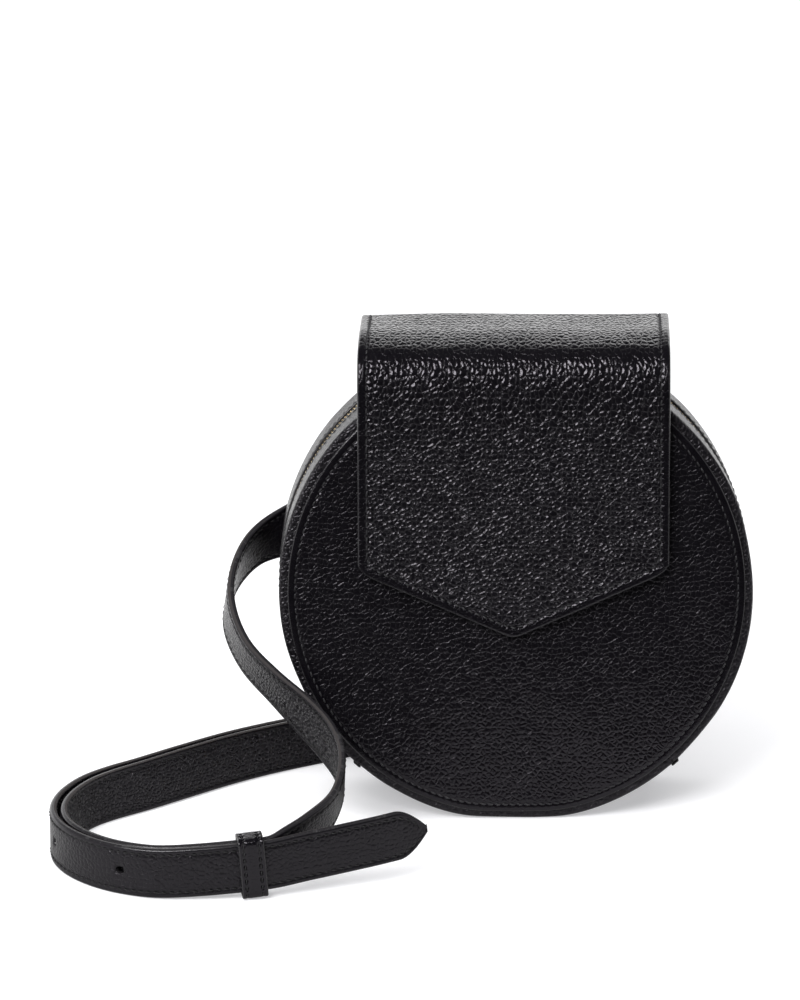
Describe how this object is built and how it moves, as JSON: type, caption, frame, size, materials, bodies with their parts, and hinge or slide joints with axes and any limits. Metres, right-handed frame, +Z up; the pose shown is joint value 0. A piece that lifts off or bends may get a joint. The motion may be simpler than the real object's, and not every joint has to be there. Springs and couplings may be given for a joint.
{
  "type": "belt bag",
  "caption": "Round black leather belt bag with a squared flap that ends in a shallow point, a zipped gusset and a long buckled belt that curls on the floor beside it",
  "frame": {"origin": "the middle of the flat sole that the bag stands on", "axes": "the front with the flap faces -Y, +Z is up, +X is to the right as seen from the front; the bag leans back 9.5 degrees as it stands"},
  "size_m": [0.2765, 0.2199, 0.1889],
  "materials": {
    "leather": "black pebbled leather with a soft sheen",
    "strap_leather": "black pebbled leather with painted edges",
    "strap_backing": "black leather with a fine grain",
    "flap_lining": "smooth matte black leather",
    "lining_fabric": "fine woven dark lining",
    "zip_tape": "black herringbone tape",
    "gold_metal": "polished pale gold plating",
    "snap_metal": "satin nickel"
  },
  "bodies": {
    "bag": {"front_panel": "leather", "back_panel": "leather", "front_lining": "lining_fabric", "back_lining": "lining_fabric", "gusset_lining": "lining_fabric", "slip_pocket": "lining_fabric", "zip_gusset_front": "leather", "zip_gusset_back": "leather", "bottom_gusset": "leather", "gusset_tab_left": "leather", "gusset_tab_right": "leather", "zip_tape_front": "zip_tape", "zip_tape_back": "zip_tape", "zip_teeth_front": "gold_metal", "zip_teeth_back": "gold_metal", "flap_back": "leather", "flap_back_lining": "flap_lining", "snap_socket": "snap_metal", "belt_anchor_left": "leather", "belt_anchor_right": "leather", "buckle_strap_outer": "strap_leather", "buckle_strap_lining": "strap_backing", "tip_strap_outer": "strap_leather", "tip_strap_lining": "strap_backing", "buckle_frame": "gold_metal", "buckle_keeper": "strap_leather"},
    "flap_top": {"flap_top": "leather", "flap_top_lining": "flap_lining"},
    "flap_front": {"flap_front": "leather", "flap_front_lining": "flap_lining", "snap_stud": "snap_metal"},
    "slider": {"zip_slider": "gold_metal"},
    "pull": {"zip_pull": "gold_metal"},
    "prong": {"buckle_prong": "gold_metal"},
    "keeper": {"belt_keeper": "strap_leather"}
  },
  "joints": [
    {"name": "flap_lift", "type": "hinge", "parent": "bag", "child": "flap_top", "pos_m": [-0.0014, 0.05694, 0.17836], "axis": [-1, 0, 0], "range_deg": [0, 140]},
    {"name": "flap_unfold", "type": "hinge", "parent": "flap_top", "child": "flap_front", "pos_m": [-0.0014, 0.001, 0.18175], "axis": [-1, 0, 0], "range_deg": [0, 85]},
    {"name": "zip_run", "type": "hinge", "parent": "bag", "child": "slider", "pos_m": [0, 0.0148, 0.08843], "axis": [0, 0.9863, -0.165], "range_deg": [0, 267.4]},
    {"name": "pull_swing", "type": "hinge", "parent": "slider", "child": "pull", "pos_m": [-0.06879, 0.00395, 0.02359], "axis": [0, -0.9863, 0.165], "range_deg": [0, 170]},
    {"name": "prong_swing", "type": "hinge", "parent": "bag", "child": "prong", "pos_m": [-0.01639, 0.05824, 0.01457], "axis": [0, 0, 1], "range_deg": [0, 4]},
    {"name": "keeper_slide", "type": "slide", "parent": "bag", "child": "keeper", "axis": [-0.9912, -0.1105, -0.0733], "range_m": [0, 0.005]}
  ]
}
